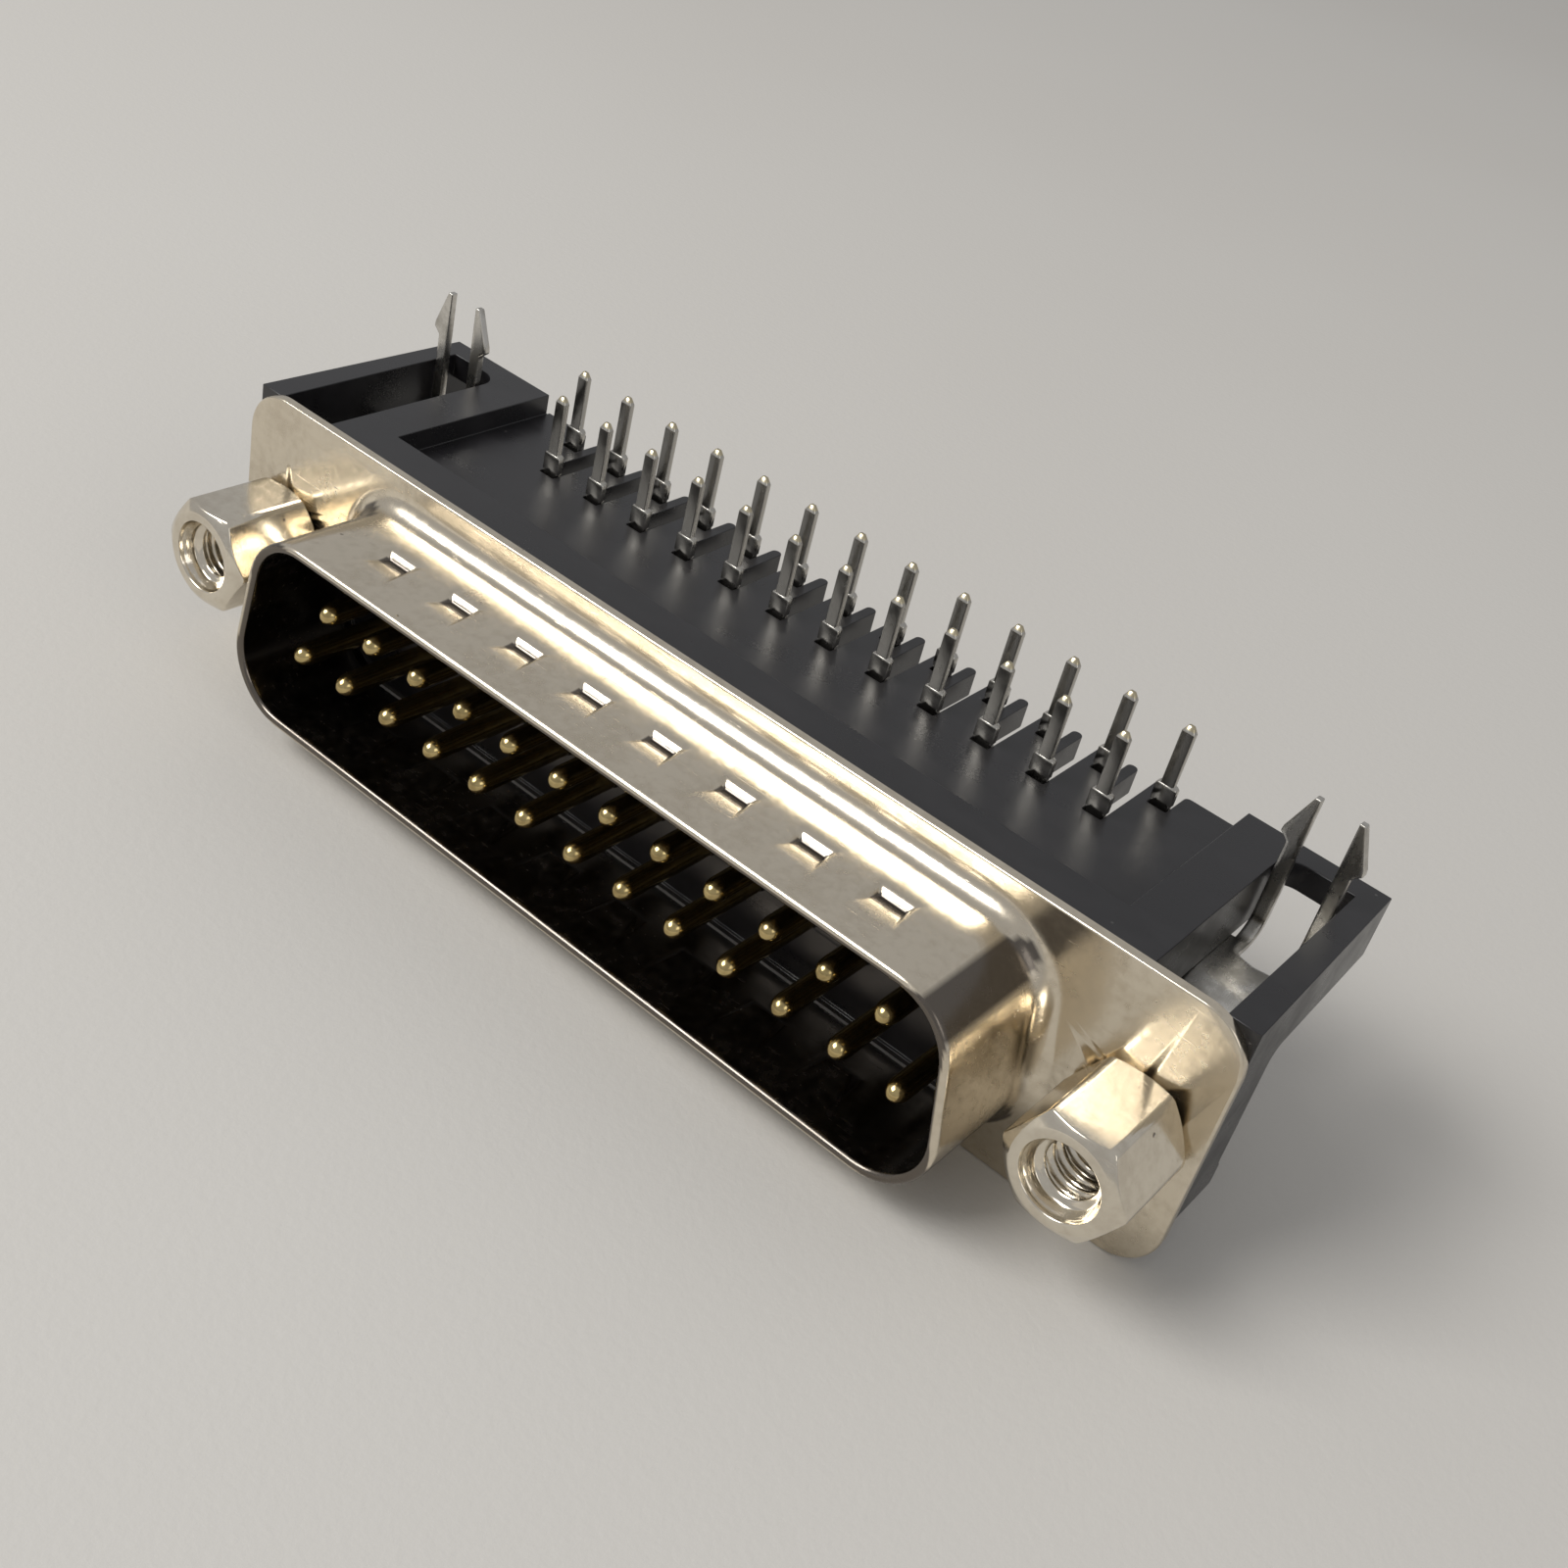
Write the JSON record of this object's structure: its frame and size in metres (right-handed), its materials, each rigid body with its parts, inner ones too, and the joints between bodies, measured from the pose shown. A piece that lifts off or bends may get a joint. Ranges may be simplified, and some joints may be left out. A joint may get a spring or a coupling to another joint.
{
  "type": "d-sub connector",
  "caption": "Right-angle board-mount D-sub plug with pins in a steel shell, a moulded housing, screw sockets and snap-in board locks.",
  "frame": {"origin": "centre of the flange's front face, on the mating axis", "axes": "+X along the connector's long axis, +Y from the mating side to the rear, +Z towards the circuit board it is soldered to"},
  "size_m": [0.053, 0.0184, 0.016],
  "materials": {
    "shell_nickel": "nickel-plated drawn steel, glossy with a soft blur",
    "housing_plastic": "black glass-filled plastic, semi-gloss",
    "socket_nickel": "nickel-plated turned steel",
    "lock_tin": "tinned spring steel",
    "contact_alloy": "gold-flashed pins with tinned solder tails"
  },
  "bodies": {
    "root": {"front_shell": "shell_nickel", "housing": "housing_plastic", "jack_socket_left": "socket_nickel", "jack_socket_right": "socket_nickel", "board_lock_left": "lock_tin", "board_lock_right": "lock_tin", "contact_01": "contact_alloy", "contact_02": "contact_alloy", "contact_03": "contact_alloy", "contact_04": "contact_alloy", "contact_05": "contact_alloy", "contact_06": "contact_alloy", "contact_07": "contact_alloy", "contact_08": "contact_alloy", "contact_09": "contact_alloy", "contact_10": "contact_alloy", "contact_11": "contact_alloy", "contact_12": "contact_alloy", "contact_13": "contact_alloy", "contact_14": "contact_alloy", "contact_15": "contact_alloy", "contact_16": "contact_alloy", "contact_17": "contact_alloy", "contact_18": "contact_alloy", "contact_19": "contact_alloy", "contact_20": "contact_alloy", "contact_21": "contact_alloy", "contact_22": "contact_alloy", "contact_23": "contact_alloy", "contact_24": "contact_alloy", "contact_25": "contact_alloy"}
  },
  "joints": []
}
